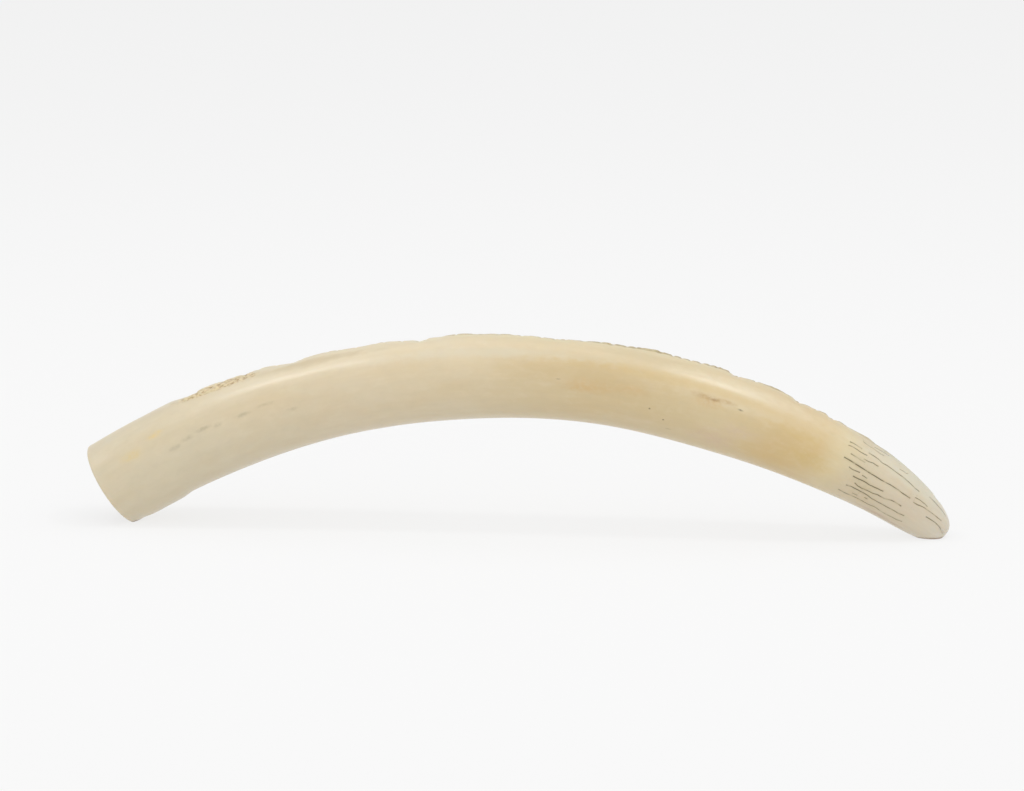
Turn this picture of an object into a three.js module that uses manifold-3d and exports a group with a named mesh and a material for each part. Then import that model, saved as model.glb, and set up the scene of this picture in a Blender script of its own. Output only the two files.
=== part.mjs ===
// A carved ivory tusk that stands as an arch, on the corner of its cut end and on its tip.
// One side is plain and polished. The other carries a low relief of fans of leaves, flowers and a
// wavy stem, sunk into the ivory, whose upper edge notches the tusk's back.
// Millimetres, +Z up. X runs from the cut end to the tip, and +Y faces the carved side.
import * as THREE from 'three';
import { mergeVertices } from 'three/addons/utils/BufferGeometryUtils.js';
import Module from 'manifold-3d';

const wasm = await Module();
wasm.setup();

// The centre line: a long easy bend behind the cut end, a closer one, and the tip's own.
const rearRun = 292;
const rearRadius = 535;
const frontRun = 269;
const frontRadius = 486;
const tipRun = 64;
const tipRadius = 254;
const sideSway = 3;

// The section: half its height at the cut end, along the body, at the waist and at the tip's shoulder.
// Places are measured along the centre line, from the cut end or, for the shoulder, back from the tip.
const buttHalfHeight = 31.6;
const bodyHalfHeight = 29.7;
const waistHalfHeight = 28.2;
const shoulderHalfHeight = 18.5;
const widthShare = 0.96;
const swellHold = 70;
const swellEnd = 200;
const waistPlace = 358;
const waistRun = 110;
const taperRun = 212;
const shoulderPlace = 31.8;
const noseRun = 50;
const nosePower = 3.1;
const rimRounding = 1.8;

// The heel, where the underside hangs a little lower just behind the foot of the cut end.
const heelPlace = 29;
const heelRun = 20;
const heelDepth = 1.5;
const heelPower = 4;
const heelRingShares = [1, 0.6];

// The pulp hollow, open at the cut end.
const hollowDepth = 150;
const rimWall = 7;
const hollowPower = 0.8;

// The feet: how deep the floor plane cuts into the lower corner of the cut end and into the tip.
const buttFootDepth = 2;
const tipFootDepth = 3.5;

// The carving. Across sizes are measured round the body, from the middle of the back.
const carvingStart = 64;
const fanCount = 6;
const firstFanRun = 91;
const lastFanRun = 53;
const endLeafRun = 20;
const groundDepth = 2.2;
const borderReach = 8;
const farReach = 82;

// The crossing, where the first fan's leaves run over the back to the plain side.
const crossingPlace = 96;
const crossingRun = 34;
const crossingPower = 8;
const crossingReach = 12;
const crossingDepthShare = 0.3;

// The dips worn into the border after some of the fans: a fan's number and the share of the dip's run
// over which the border falls.
const dips = [[1, 0.6], [2, 0.6], [5, 0.2], [6, 0.2]];
const dipRun = 30;
const dipDepth = 2.2;
const dipReach = 10;
const dipOverlap = 2;
const dipEaseShare = 0.6;

// The wavy stem. A drop is how far a form's top lies below the tusk's skin.
const stemMiddle = 44;
const stemSwing = 14;
const stemWidth = 5.4;
const stemRidgeDrop = 0.4;
const stemEdgeDrop = 1.2;

// The fans of leaves: one towards the back, and a low one between each two. Angles are degrees a leaf.
const backLeaves = 7;
const backLeafAngle = 25;
const backLeafCurlAngle = 20;
const lowLeaves = 5;
const lowLeafLength = 20;
const lowLeafAngle = 32;
const lowLeafCurlAngle = 15;
const leafGap = 1;
const leafRootSpacing = 1.6;
const outerLeafGain = 1.5;
const leafTipDrop = 0.4;
const grooveShare = 0.66;
const grooveDepth = 1.1;

// The flowers: petals joined round a boss.
const rosettePetals = 6;
const rosetteRadius = 9.5;
const borderRosetteShare = 0.9;
const petalNotchShare = 0.78;
const petalTipDrop = 0.9;
const petalRootDrop = 1.5;
const bossFootRadius = 3.8;
const bossTopRadius = 2.6;
const bossShoulderDrop = 0.3;

// The tendrils, each a curl round a flower, from its start angle through its sweep, in degrees.
const tendrilWidth = 3.6;
const tendrilReach = 28;
const tendrilEnd = 13;
const tendrilStartAngle = 225;
const tendrilSweepAngle = 300;
const tendrilFlatShare = 0.82;
const tendrilDrop = 0.8;

// How finely the faceted surface is cut.
const sectionSideCount = 28;
const ringSpacing = 18;
const rimSteps = 2;
const noseSteps = 7;
const hollowSteps = 7;
const fieldSteps = 35;
const fieldAcrossSteps = 10;
const dipSteps = 5;
const dipAcrossSteps = 3;
const stemStepsAFan = 8;
const tendrilSteps = 9;
const backLeafSteps = 4;
const lowLeafSteps = 3;
const facetTolerance = 0.07;

// How finely the standing slope is searched for.
const probeSteps = 48;
const slopeRoundCount = 30;

// How far cutting bodies rise over the skin, and how far raised forms run on below the ground.
const cutAbove = 4;
const rootRun = 2;

const bends = [[rearRun, rearRadius], [frontRun, frontRadius], [tipRun, tipRadius]];
const tuskLength = rearRun + frontRun + tipRun;
const fansEnd = carvingStart + (fanCount * (firstFanRun + lastFanRun)) / 2;
const carvingEnd = fansEnd + endLeafRun;
const rootDepth = groundDepth + rootRun;
const degree = Math.PI / 180;

// Eases from 0 to 1 as x passes from low to high.
function ease(low, high, x) {
  return THREE.MathUtils.smoothstep(x, low, high);
}

// The centre line at a distance from the cut end, in the tusk's own plane, with the cut end level.
function centre(along) {
  const point = new THREE.Vector2();
  let turn = 0;
  let left = along;
  bends.forEach(([run, radius], index) => {
    const part = index === 0 ? Math.min(left, run) : Math.max(0, Math.min(left, run));
    const next = turn + part / radius;
    point.x += radius * (Math.sin(next) - Math.sin(turn));
    point.y += radius * (Math.cos(next) - Math.cos(turn));
    turn = next;
    left -= part;
  });
  return { point, turn };
}

// Half the section's height: a swell at the cut end, a slight waist, then the taper and the blunt nose.
function halfHeight(along) {
  const swell = (buttHalfHeight - bodyHalfHeight) * (1 - ease(swellHold, swellEnd, along));
  const waist = THREE.MathUtils.clamp((along - waistPlace) / waistRun, -1, 1);
  const dip = (bodyHalfHeight - waistHalfHeight) * Math.cos((waist * Math.PI) / 2) ** 2;
  const taper = Math.max(0, 1 + (along - tuskLength + shoulderPlace) / taperRun);
  const body = bodyHalfHeight + swell - dip - (bodyHalfHeight - shoulderHalfHeight) * taper ** 2;
  const nose = THREE.MathUtils.clamp((along - tuskLength + noseRun) / noseRun, 0, 1);
  return body * (1 - nose ** nosePower) ** (1 / nosePower);
}

// How much lower the underside hangs at the heel.
function heel(along) {
  const off = Math.abs(along - heelPlace) / heelRun;
  return off < 1 ? heelDepth * (1 - off ** heelPower) : 0;
}

// A point of the surface: its distance along the tusk, its angle from the back, its height over the skin.
function skin(along, angle, lift, half = halfHeight(along)) {
  const { point, turn } = centre(along);
  const lowered = Math.cos(angle) < 0 ? heel(along) : 0;
  const out = (half + lift + lowered) * Math.cos(angle);
  const side = (half * widthShare + lift) * Math.sin(angle);
  const sway = sideSway * Math.sin((2 * Math.PI * along) / tuskLength);
  return new THREE.Vector3(point.x + out * Math.sin(turn), side + sway, point.y + out * Math.cos(turn));
}

// Turns a list of points and triangles into a solid.
function toSolid(points, triangles) {
  const geometry = new THREE.BufferGeometry().setFromPoints(points);
  geometry.setIndex(triangles);
  const merged = mergeVertices(geometry, 1e-4);
  const index = Array.from(merged.index.array);
  const kept = [];
  for (let i = 0; i < index.length; i += 3) {
    const [a, b, c] = index.slice(i, i + 3);
    if (a !== b && b !== c && c !== a) kept.push(a, b, c);
  }
  const mesh = new wasm.Mesh({
    numProp: 3,
    vertProperties: new Float32Array(merged.attributes.position.array),
    triVerts: new Uint32Array(kept),
  });
  return new wasm.Manifold(mesh);
}

// A closed body lofted through rings of points, with a point that closes each end.
function loft(rings, startPoint, endPoint) {
  const sides = rings[0].length;
  const points = [startPoint, ...rings.flat(), endPoint];
  const last = points.length - 1;
  const at = (ring, side) => 1 + ring * sides + (side % sides);
  const triangles = [];
  for (let side = 0; side < sides; side++) {
    triangles.push(0, at(0, side), at(0, side + 1));
    for (let ring = 0; ring + 1 < rings.length; ring++) {
      triangles.push(at(ring, side), at(ring + 1, side), at(ring + 1, side + 1));
      triangles.push(at(ring, side), at(ring + 1, side + 1), at(ring, side + 1));
    }
    triangles.push(at(rings.length - 1, side), last, at(rings.length - 1, side + 1));
  }
  return toSolid(points, triangles);
}

// One ring of the section at a distance along the tusk.
function ring(along, half) {
  const turn = (side) => (side * 2 * Math.PI) / sectionSideCount;
  return Array.from({ length: sectionSideCount }, (_, side) => skin(along, turn(side), 0, half));
}

// The plain tusk, uncut: rounded rim, even body, and rings that close up towards the nose.
function plainTusk() {
  const rings = [];
  for (let step = 0; step <= rimSteps; step++) {
    const around = (step * Math.PI) / 2 / rimSteps;
    const half = halfHeight(0) - rimRounding * (1 - Math.sin(around));
    rings.push(ring(rimRounding * (1 - Math.cos(around)), half));
  }
  const heelRings = heelRingShares.map((share) => heelPlace - heelRun * share);
  for (const along of heelRings) rings.push(ring(along));
  const bodyStart = heelRings.at(-1);
  const bodyRun = tuskLength - noseRun - bodyStart;
  const bodySteps = Math.round(bodyRun / ringSpacing);
  for (let step = 1; step <= bodySteps; step++) rings.push(ring(bodyStart + (bodyRun * step) / bodySteps));
  for (let step = 1; step < noseSteps; step++) {
    rings.push(ring(tuskLength - noseRun * (1 - Math.sin((step * Math.PI) / 2 / noseSteps))));
  }
  return loft(rings, skin(0, 0, 0, 0), skin(tuskLength, 0, 0, 0));
}

// The pulp hollow: a cone that follows the tusk, from just outside the rim to its point.
function pulpHollow() {
  const mouth = halfHeight(0) - rimWall;
  const rings = [ring(-rimWall, mouth)];
  for (let step = 0; step < hollowSteps; step++) {
    const share = step / hollowSteps;
    rings.push(ring(hollowDepth * share, mouth * (1 - share) ** hollowPower));
  }
  return loft(rings, skin(-rimWall, 0, 0, 0), skin(hollowDepth, 0, 0, 0));
}

// A closed slab: top and underside are grids of points, given by a function of the shares along and across.
function slab(alongSteps, acrossSteps, pointAt) {
  const points = [];
  for (const under of [false, true]) {
    for (let i = 0; i <= alongSteps; i++) {
      for (let j = 0; j <= acrossSteps; j++) {
        points.push(pointAt(i / alongSteps, j / acrossSteps, under));
      }
    }
  }
  const size = (alongSteps + 1) * (acrossSteps + 1);
  const at = (i, j) => i * (acrossSteps + 1) + j;
  const triangles = [];
  const quad = (a, b, c, d) => triangles.push(a, b, c, a, c, d);
  for (let i = 0; i < alongSteps; i++) {
    for (let j = 0; j < acrossSteps; j++) {
      const [a, b, c, d] = [at(i, j), at(i + 1, j), at(i + 1, j + 1), at(i, j + 1)];
      quad(a, b, c, d);
      quad(size + a, size + d, size + c, size + b);
    }
    quad(at(i + 1, 0), at(i, 0), size + at(i, 0), size + at(i + 1, 0));
    const far = acrossSteps;
    quad(at(i, far), at(i + 1, far), size + at(i + 1, far), size + at(i, far));
  }
  for (let j = 0; j < acrossSteps; j++) {
    quad(at(0, j), at(0, j + 1), size + at(0, j + 1), size + at(0, j));
    const end = alongSteps;
    quad(at(end, j + 1), at(end, j), size + at(end, j), size + at(end, j + 1));
  }
  return toSolid(points, triangles);
}

// A point of the carving: distance along the tusk, distance round it from the back, and height.
function carved(along, across, lift) {
  return skin(along, across / bodyHalfHeight, lift);
}

// How far the carving crosses the back, from 0 to 1 over most of the crossing.
function crossing(along) {
  const off = Math.abs(along - crossingPlace) / crossingRun;
  return off < 1 ? 1 - off ** crossingPower : 0;
}

// Where the sunk field begins. It keeps off the back, except at the crossing.
function nearEdge(along) {
  return borderReach - (borderReach + crossingReach) * crossing(along);
}

// The sunk field that holds the carving. Where it crosses the back, it starts shallow.
function sunkField() {
  return slab(fieldSteps, fieldAcrossSteps, (i, j, under) => {
    const along = THREE.MathUtils.lerp(carvingStart, carvingEnd, i);
    const across = THREE.MathUtils.lerp(nearEdge(along), farReach, j);
    const share = j === 0 ? THREE.MathUtils.lerp(1, crossingDepthShare, crossing(along)) : 1;
    return carved(along, across, under ? -groundDepth * share : cutAbove);
  });
}

// A dip worn into the border between two fans: it falls to its deepest place and rises evenly from there.
function borderDip(place, squeeze, fallShare) {
  return slab(dipSteps, dipAcrossSteps, (i, j, under) => {
    const falling = i < fallShare;
    const fall = falling ? Math.sin((i / fallShare) * (Math.PI / 2)) : (1 - i) / (1 - fallShare);
    const inward = ease(0, dipEaseShare, j);
    const along = place + (i - fallShare) * dipRun * squeeze;
    const across = THREE.MathUtils.lerp(-dipReach, borderReach + dipOverlap, j);
    return carved(along, across, under ? -dipDepth * squeeze * fall * inward : cutAbove);
  });
}

// The fans' runs shrink evenly towards the tip. Each has its start, its middle and its end.
function fanSpans() {
  const spans = [];
  let start = carvingStart;
  for (let fan = 0; fan < fanCount; fan++) {
    const share = fanCount > 1 ? fan / (fanCount - 1) : 0;
    const run = THREE.MathUtils.lerp(firstFanRun, lastFanRun, share);
    spans.push({ start, run, middle: start + run / 2, end: start + run, squeeze: run / firstFanRun });
    start += run;
  }
  return spans;
}

// A fan of leaves joined at their grooves. It springs from a root and opens to one side of it.
function fanOfLeaves({ middle, root, opens, squeeze, leaves, length, spread, curl, steps }) {
  const lines = 2 * leaves;
  return slab(steps, lines, (share, side, under) => {
    const line = Math.round(side * lines);
    const rank = (line - leaves) / 2;
    const isGroove = line % 2 === 0;
    const heading = rank * spread * degree;
    const bend = rank * curl * degree * share;
    const reach = (length + outerLeafGain * Math.abs(rank)) * (isGroove ? grooveShare : 1) * share;
    const chord = Math.abs(bend) < 1e-6 ? reach : (2 * reach * Math.sin(bend / 2)) / bend;
    const along = rank * leafRootSpacing + chord * Math.sin(heading + bend / 2);
    const across = chord * Math.cos(heading + bend / 2);
    const top = (isGroove ? -grooveDepth : 0) - leafTipDrop * share ** 2;
    const flip = opens < 0 ? 1 : -1;
    return carved(middle + flip * along * squeeze, root + opens * across, under ? -rootDepth : top);
  });
}

// A stalk that follows a flat curve, ridged or flat on top.
function stalk(curve, steps, width, ridge, edge) {
  const reach = 0.01;
  const acrossSteps = ridge === edge ? 1 : 2;
  return slab(steps, acrossSteps, (share, side, under) => {
    const point = curve(share);
    const ahead = curve(share + reach);
    const turn = Math.atan2(ahead.y - point.y, ahead.x - point.x);
    const offset = (side - 0.5) * width;
    const top = side === 0.5 ? ridge : edge;
    const x = point.x - offset * Math.sin(turn);
    const y = point.y + offset * Math.cos(turn);
    return carved(x, y, under ? -rootDepth : top);
  });
}

// The wavy stem, whose crests lie at the fans' middles and its troughs between the fans.
function stem() {
  const spans = fanSpans();
  const curve = (share) => {
    const place = share * fanCount;
    const span = spans[Math.min(fanCount - 1, Math.floor(place))];
    const part = place - spans.indexOf(span);
    const along = span.start + span.run * part;
    return new THREE.Vector2(along, stemMiddle + stemSwing * Math.cos(2 * Math.PI * part));
  };
  return stalk(curve, fanCount * stemStepsAFan, stemWidth, -stemRidgeDrop, -stemEdgeDrop);
}

// A flower: petals joined round a boss.
function rosette(along, across, size, squeeze) {
  const corners = rosettePetals * 3;
  const notch = (corner) => (corner % 3 === 0 ? petalNotchShare : 1);
  const rounds = [
    { reach: rosetteRadius, lobed: true, lift: -rootDepth },
    { reach: rosetteRadius, lobed: true, lift: -petalTipDrop },
    { reach: bossFootRadius, lobed: false, lift: -petalRootDrop },
    { reach: bossTopRadius, lobed: false, lift: -bossShoulderDrop },
  ];
  const rings = rounds.map(({ reach, lobed, lift }) => Array.from({ length: corners }, (_, corner) => {
    const around = -(corner * 2 * Math.PI) / corners;
    const far = reach * size * (lobed ? notch(corner) : 1);
    return carved(along + far * squeeze * Math.cos(around), across + far * Math.sin(around), lift);
  }));
  return loft(rings, carved(along, across, -rootDepth), carved(along, across, 0));
}

// A tendril that leaves the stem and curls round a flower below the stem's crest.
function tendril(middle, across, squeeze) {
  const curve = (share) => {
    const around = (tendrilStartAngle - tendrilSweepAngle * share) * degree;
    const reach = THREE.MathUtils.lerp(tendrilReach, tendrilEnd, share);
    const x = middle + reach * squeeze * Math.cos(around);
    const y = across + reach * tendrilFlatShare * Math.sin(around);
    return new THREE.Vector2(x, y);
  };
  return stalk(curve, tendrilSteps, tendrilWidth, -tendrilDrop, -tendrilDrop);
}

// Every raised form of the carving.
function carving() {
  const parts = [stem()];
  const back = {
    opens: -1,
    leaves: backLeaves,
    spread: backLeafAngle,
    curl: backLeafCurlAngle,
    steps: backLeafSteps,
  };
  const low = {
    opens: 1,
    leaves: lowLeaves,
    spread: lowLeafAngle,
    curl: lowLeafCurlAngle,
    steps: lowLeafSteps,
  };
  const crest = stemMiddle - stemSwing;
  const trough = stemMiddle + stemSwing;
  for (const { middle, end, squeeze } of fanSpans()) {
    const length = crest - nearEdge(middle) - leafGap;
    parts.push(fanOfLeaves({ ...back, middle, root: crest, squeeze, length }));
    parts.push(tendril(middle, trough, squeeze));
    parts.push(rosette(middle, trough, 1, squeeze));
    parts.push(fanOfLeaves({ ...low, middle: end, root: trough, squeeze, length: lowLeafLength }));
    parts.push(rosette(end, crest, borderRosetteShare, squeeze));
  }
  return parts;
}

// Half the section's height at the rounded rim of the cut end.
function rimHalfHeight(along) {
  return halfHeight(0) - rimRounding + Math.sqrt(rimRounding ** 2 - (rimRounding - along) ** 2);
}

// The lowest height that a stretch of the uncut tusk reaches when it stands at a slope.
function lowestPoint(from, to, slope) {
  let low = Infinity;
  for (let step = 0; step <= probeSteps; step++) {
    const along = THREE.MathUtils.lerp(from, to, step / probeSteps);
    const half = along < rimRounding ? rimHalfHeight(along) : halfHeight(along);
    for (let side = 0; side <= probeSteps; side++) {
      const angle = Math.PI * (0.5 + side / probeSteps);
      const point = skin(along, angle, 0, half);
      low = Math.min(low, point.z * Math.cos(slope) + point.x * Math.sin(slope));
    }
  }
  return low;
}

// The slope at which the tusk stands, found so that both ends reach the floor at their foot depths.
function standingSlope() {
  const buttFoot = (slope) => lowestPoint(0, rimWall, slope) + buttFootDepth;
  const tipFoot = (slope) => lowestPoint(tuskLength - noseRun, tuskLength, slope) + tipFootDepth;
  let flat = 0;
  let steep = Math.PI / 3;
  for (let round = 0; round < slopeRoundCount; round++) {
    const slope = (flat + steep) / 2;
    if (tipFoot(slope) > buttFoot(slope)) steep = slope;
    else flat = slope;
  }
  return { slope: flat, floor: buttFoot(flat) };
}

// The finished tusk: field sunk, carving raised in it, hollow cut, stood up and its feet cut flat.
function tuskSolid() {
  let solid = plainTusk().subtract(sunkField());
  for (const part of carving()) solid = solid.add(part);
  const spans = fanSpans();
  for (const [fan, fallShare] of dips.filter(([fan]) => fan <= fanCount)) {
    const { end, squeeze } = spans[fan - 1];
    solid = solid.subtract(borderDip(end, squeeze, fallShare));
  }
  solid = solid.subtract(pulpHollow()).asOriginal().simplify(facetTolerance);
  const { slope, floor } = standingSlope();
  const turned = new THREE.Matrix4().makeRotationY(-slope);
  const lowered = new THREE.Matrix4().makeTranslation(0, 0, -floor);
  solid = solid.transform(lowered.multiply(turned).elements);
  const below = new THREE.BoxGeometry(3 * tuskLength, tuskLength, tuskLength);
  below.translate(0, 0, -tuskLength / 2);
  return solid.subtract(boxSolid(below));
}

// A three.js box as a solid.
function boxSolid(geometry) {
  const flat = geometry.clone();
  flat.deleteAttribute('normal');
  flat.deleteAttribute('uv');
  const merged = mergeVertices(flat);
  return new wasm.Manifold(new wasm.Mesh({
    numProp: 3,
    vertProperties: new Float32Array(merged.attributes.position.array),
    triVerts: new Uint32Array(merged.index.array),
  }));
}

// The solid as a geometry whose origin is on the floor, under the middle of its box.
function toGeometry(solid) {
  const mesh = solid.getMesh();
  const geometry = new THREE.BufferGeometry();
  geometry.setAttribute('position', new THREE.BufferAttribute(new Float32Array(mesh.vertProperties), 3));
  geometry.setIndex(new THREE.BufferAttribute(new Uint32Array(mesh.triVerts), 1));
  geometry.computeBoundingBox();
  const middle = geometry.boundingBox.getCenter(new THREE.Vector3());
  geometry.translate(-middle.x, -middle.y, 0);
  geometry.computeVertexNormals();
  return geometry;
}

const ivory = new THREE.MeshStandardMaterial({ color: '#dccdaa', roughness: 0.3, metalness: 0 });
const tusk = new THREE.Mesh(toGeometry(tuskSolid()), ivory);
tusk.name = 'tusk';

const group = new THREE.Group();
group.add(tusk);

export default group;
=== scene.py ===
import math

import bpy
import numpy as np
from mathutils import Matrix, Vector


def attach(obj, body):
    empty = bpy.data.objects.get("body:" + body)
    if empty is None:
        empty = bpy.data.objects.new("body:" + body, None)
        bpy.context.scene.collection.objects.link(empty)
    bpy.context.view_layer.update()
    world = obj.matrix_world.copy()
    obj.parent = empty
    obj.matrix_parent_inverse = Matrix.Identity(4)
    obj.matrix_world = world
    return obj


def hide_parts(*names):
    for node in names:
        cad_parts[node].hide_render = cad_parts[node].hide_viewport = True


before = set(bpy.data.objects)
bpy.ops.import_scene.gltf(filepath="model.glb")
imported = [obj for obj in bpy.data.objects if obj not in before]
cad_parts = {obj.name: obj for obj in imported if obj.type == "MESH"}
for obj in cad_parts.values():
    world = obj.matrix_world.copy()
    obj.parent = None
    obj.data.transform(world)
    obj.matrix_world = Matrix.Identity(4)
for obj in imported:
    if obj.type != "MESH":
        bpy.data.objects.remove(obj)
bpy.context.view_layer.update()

# Sizes are in mm here and turned to metres when the mesh is made.
mm = 0.001

# The tusk's own shape, the same numbers as its solid.
tusk = {
    "bends": [(292, 535), (269, 486), (64, 254)],  # run and radius of each part of the centre line
    "length": 625,
    "sideSway": 3,
    "buttHalfHeight": 31.6,
    "bodyHalfHeight": 29.7,
    "waistHalfHeight": 28.2,
    "shoulderHalfHeight": 18.5,
    "widthShare": 0.96,
    "swellHold": 70,
    "swellEnd": 200,
    "waistPlace": 358,
    "waistRun": 110,
    "taperRun": 212,
    "shoulderPlace": 31.8,
    "noseRun": 50,
    "nosePower": 3.1,
    "rimRounding": 1.8,
    "heelPlace": 29,  # where the underside hangs lower, behind the foot of the cut end
    "heelRun": 20,
    "heelDepth": 1.5,
    "heelPower": 4,
    "hollowDepth": 150,
    "rimWall": 7,
    "hollowPower": 0.8,
    "slope": 32.404,  # degrees, how steeply the cut end leans when the tusk stands
    "floor": -24.023,  # height of the floor before the tusk is lowered on it
    "middle": (285.478, 0.895),  # middle of the box, before it is centred
    "polish": 0.1,  # the finer surface lies this far inside the solid's
}

# The carving, measured round the tusk from the middle of its back.
carving = {
    "start": 64,
    "fans": 6,
    "firstRun": 91,
    "lastRun": 53,
    "endRun": 20,
    "ground": 2.2,
    "border": 8,
    "farReach": 82,
    "crossingPlace": 96,  # here the first fan's leaves run over the back to the plain side
    "crossingRun": 34,
    "crossingPower": 8,
    "crossingReach": 12,
    "crossingDepth": 0.3,  # share of the ground's depth where the carving starts on the plain side
    "crossingFall": 9.4,
    "stemMiddle": 44,
    "stemSwing": 14,
    "stemWidth": 5.4,
    "backLeaves": 7,
    "backSpread": 25,
    "backCurl": 20,
    "lowLeaves": 5,
    "lowLength": 20,
    "lowSpread": 32,
    "lowCurl": 15,
    "leafGap": 1,
    "rootSpacing": 1.6,
    "outerGain": 1.5,
    "veinSpacing": 3.1,
    "rosette": 9.5,
    "petals": 6,
    "tendrilWidth": 3.6,
    "tendrilReach": 28,
    "tendrilEnd": 13,
    "tipSpacing": 5.6,  # between the small leaf tips that close the first fan on the plain side
    "tipsEnd": 135,
}

# The profiles of the carved forms in mm, with heights counted from the skin.
forms = {
    "wall": 2.6,  # how steeply each form falls to the ground at its edge
    "leafSpine": -0.1,
    "leafFall": 1.15,  # from the spine of a leaf to its edge
    "leafTipFall": 0.35,
    "creaseDepth": 0.45,
    "creaseWidth": 0.9,
    "veinDepth": 0.13,
    "veinSlant": 0.8,
    "huskSize": 4.2,
    "petalRoot": -1.45,
    "petalRise": 0.75,
    "petalGap": 0.55,  # how much deeper it is between two petals
    "petalHollow": 0.28,
    "petalLip": 0.3,
    "bossSize": 3.0,
    "pitDepth": 0.34,
    "pitRing": 1.7,  # radius of the ring of pits on a boss
    "stemTop": -0.35,
    "stemFall": 0.75,
    "grooveDepth": 0.35,
    "groovePlace": 1.25,
    "grooveWidth": 0.45,
    "tendrilTop": -0.7,
    "tendrilFall": 0.55,
    "budTop": -0.5,
    "budSize": 2.5,
}

# How finely the surface is cut, in mm.
grain = {
    "carvedStep": (0.98, 0.80),  # between rows, at the first fan and at the last leaf
    "carvedAcross": 0.86,
    "plainAcross": 3.4,
    "plainStep": 2.2,
    "hollowRows": 30,
    "hollowCrowding": 1.4,  # rows lie closer together towards the hollow's point
    "growth": 1.25,  # each gap between columns is this much wider than the one before
    "noseRows": 34,
}


def ease(low, high, x):
    t = np.clip((x - low) / (high - low), 0, 1)
    return t * t * (3 - 2 * t)


def centreLine(along):
    # point and turn of the centre line, with the cut end level
    along = np.asarray(along, float)
    x, z, turn = np.zeros_like(along), np.zeros_like(along), np.zeros_like(along)
    left = along.copy()
    for index, (run, radius) in enumerate(tusk["bends"]):
        part = np.minimum(left, run) if index == 0 else np.clip(left, 0, run)
        ahead = turn + part / radius
        x += radius * (np.sin(ahead) - np.sin(turn))
        z += radius * (np.cos(ahead) - np.cos(turn))
        turn = ahead
        left = left - part
    return x, z, turn


def halfHeight(along):
    t = tusk
    along = np.asarray(along, float)
    swell = (t["buttHalfHeight"] - t["bodyHalfHeight"]) * (1 - ease(t["swellHold"], t["swellEnd"], along))
    waist = np.clip((along - t["waistPlace"]) / t["waistRun"], -1, 1)
    dip = (t["bodyHalfHeight"] - t["waistHalfHeight"]) * np.cos(waist * math.pi / 2) ** 2
    taper = np.maximum(0, 1 + (along - t["length"] + t["shoulderPlace"]) / t["taperRun"])
    body = t["bodyHalfHeight"] + swell - dip - (t["bodyHalfHeight"] - t["shoulderHalfHeight"]) * taper**2
    nose = np.clip((along - t["length"] + t["noseRun"]) / t["noseRun"], 0, 1)
    return body * np.maximum(0, 1 - nose ** t["nosePower"]) ** (1 / t["nosePower"])


def heel(along, angle):
    # how much lower the underside hangs behind the foot of the cut end, with a soft start and end
    off = np.abs(along - tusk["heelPlace"]) / tusk["heelRun"]
    form = 1 - off ** tusk["heelPower"]
    return tusk["heelDepth"] * (form + np.sqrt(form**2 + 0.04)) / 2 * (np.cos(angle) < 0)


def standing(along, angle, lift, half, lower):
    # a place on the skin, in the frame's metres
    x, z, turn = centreLine(along)
    out = (half + lift + lower) * np.cos(angle)
    side = (half * tusk["widthShare"] + lift) * np.sin(angle)
    side = side + tusk["sideSway"] * np.sin(2 * math.pi * along / tusk["length"])
    x, z = x + out * np.sin(turn), z + out * np.cos(turn)
    slope = math.radians(tusk["slope"])
    across = x * math.cos(slope) - z * math.sin(slope) - tusk["middle"][0]
    height = x * math.sin(slope) + z * math.cos(slope) - tusk["floor"]
    return np.stack([across, side - tusk["middle"][1], height], -1) * mm


def softNoise(along, across, sizes, seed):
    # smooth lumps between -1 and 1, of the given sizes in mm along and across
    table = np.random.default_rng(seed).uniform(-1, 1, (257, 257))
    x, y = along / sizes[0] + 40, across / sizes[1] + 90
    i, j = np.floor(x).astype(int), np.floor(y).astype(int)
    u, v = ease(0, 1, x - i), ease(0, 1, y - j)
    i, j = i % 256, j % 256
    low = table[i, j] * (1 - u) + table[i + 1, j] * u
    high = table[i, j + 1] * (1 - u) + table[i + 1, j + 1] * u
    return low * (1 - v) + high * v


def crossing(along):
    # 1 where the carving reaches furthest over the back to the plain side, 0 where it stays behind its border
    off = np.minimum(np.abs(along - carving["crossingPlace"]) / carving["crossingRun"], 1)
    return 1 - off ** carving["crossingPower"]


def nearEdge(along):
    return carving["border"] - (carving["border"] + carving["crossingReach"]) * crossing(along)


def fanSpans():
    spans, start = [], carving["start"]
    for share in np.linspace(0, 1, carving["fans"]):
        run = carving["firstRun"] + (carving["lastRun"] - carving["firstRun"]) * share
        spans.append({"start": start, "middle": start + run / 2, "end": start + run, "run": run,
                      "squeeze": run / carving["firstRun"]})
        start += run
    return spans


def bandEnd():
    # the carved band ends a little beyond its last fan
    c = carving
    return c["start"] + c["fans"] * (c["firstRun"] + c["lastRun"]) / 2 + c["endRun"]


def fromStroke(x, y, stroke):
    # distance to the right or left of a stroke, and the share of its length that was reached
    ends, starts = stroke[1:], stroke[:-1]
    run = ends - starts
    length = np.hypot(run[:, 0], run[:, 1])
    part = ((x[..., None] - starts[:, 0]) * run[:, 0] + (y[..., None] - starts[:, 1]) * run[:, 1]) / length**2
    part = np.clip(part, 0, 1)
    offX = x[..., None] - starts[:, 0] - part * run[:, 0]
    offY = y[..., None] - starts[:, 1] - part * run[:, 1]
    gap = np.hypot(offX, offY)
    best = np.argmin(gap, -1)[..., None]
    side = np.sign(run[:, 0] * offY - run[:, 1] * offX)
    reached = (np.cumsum(length) - length + part * length) / length.sum()
    pick = lambda values: np.take_along_axis(values, best, -1)[..., 0]
    return pick(gap) * pick(side), pick(reached)


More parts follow.
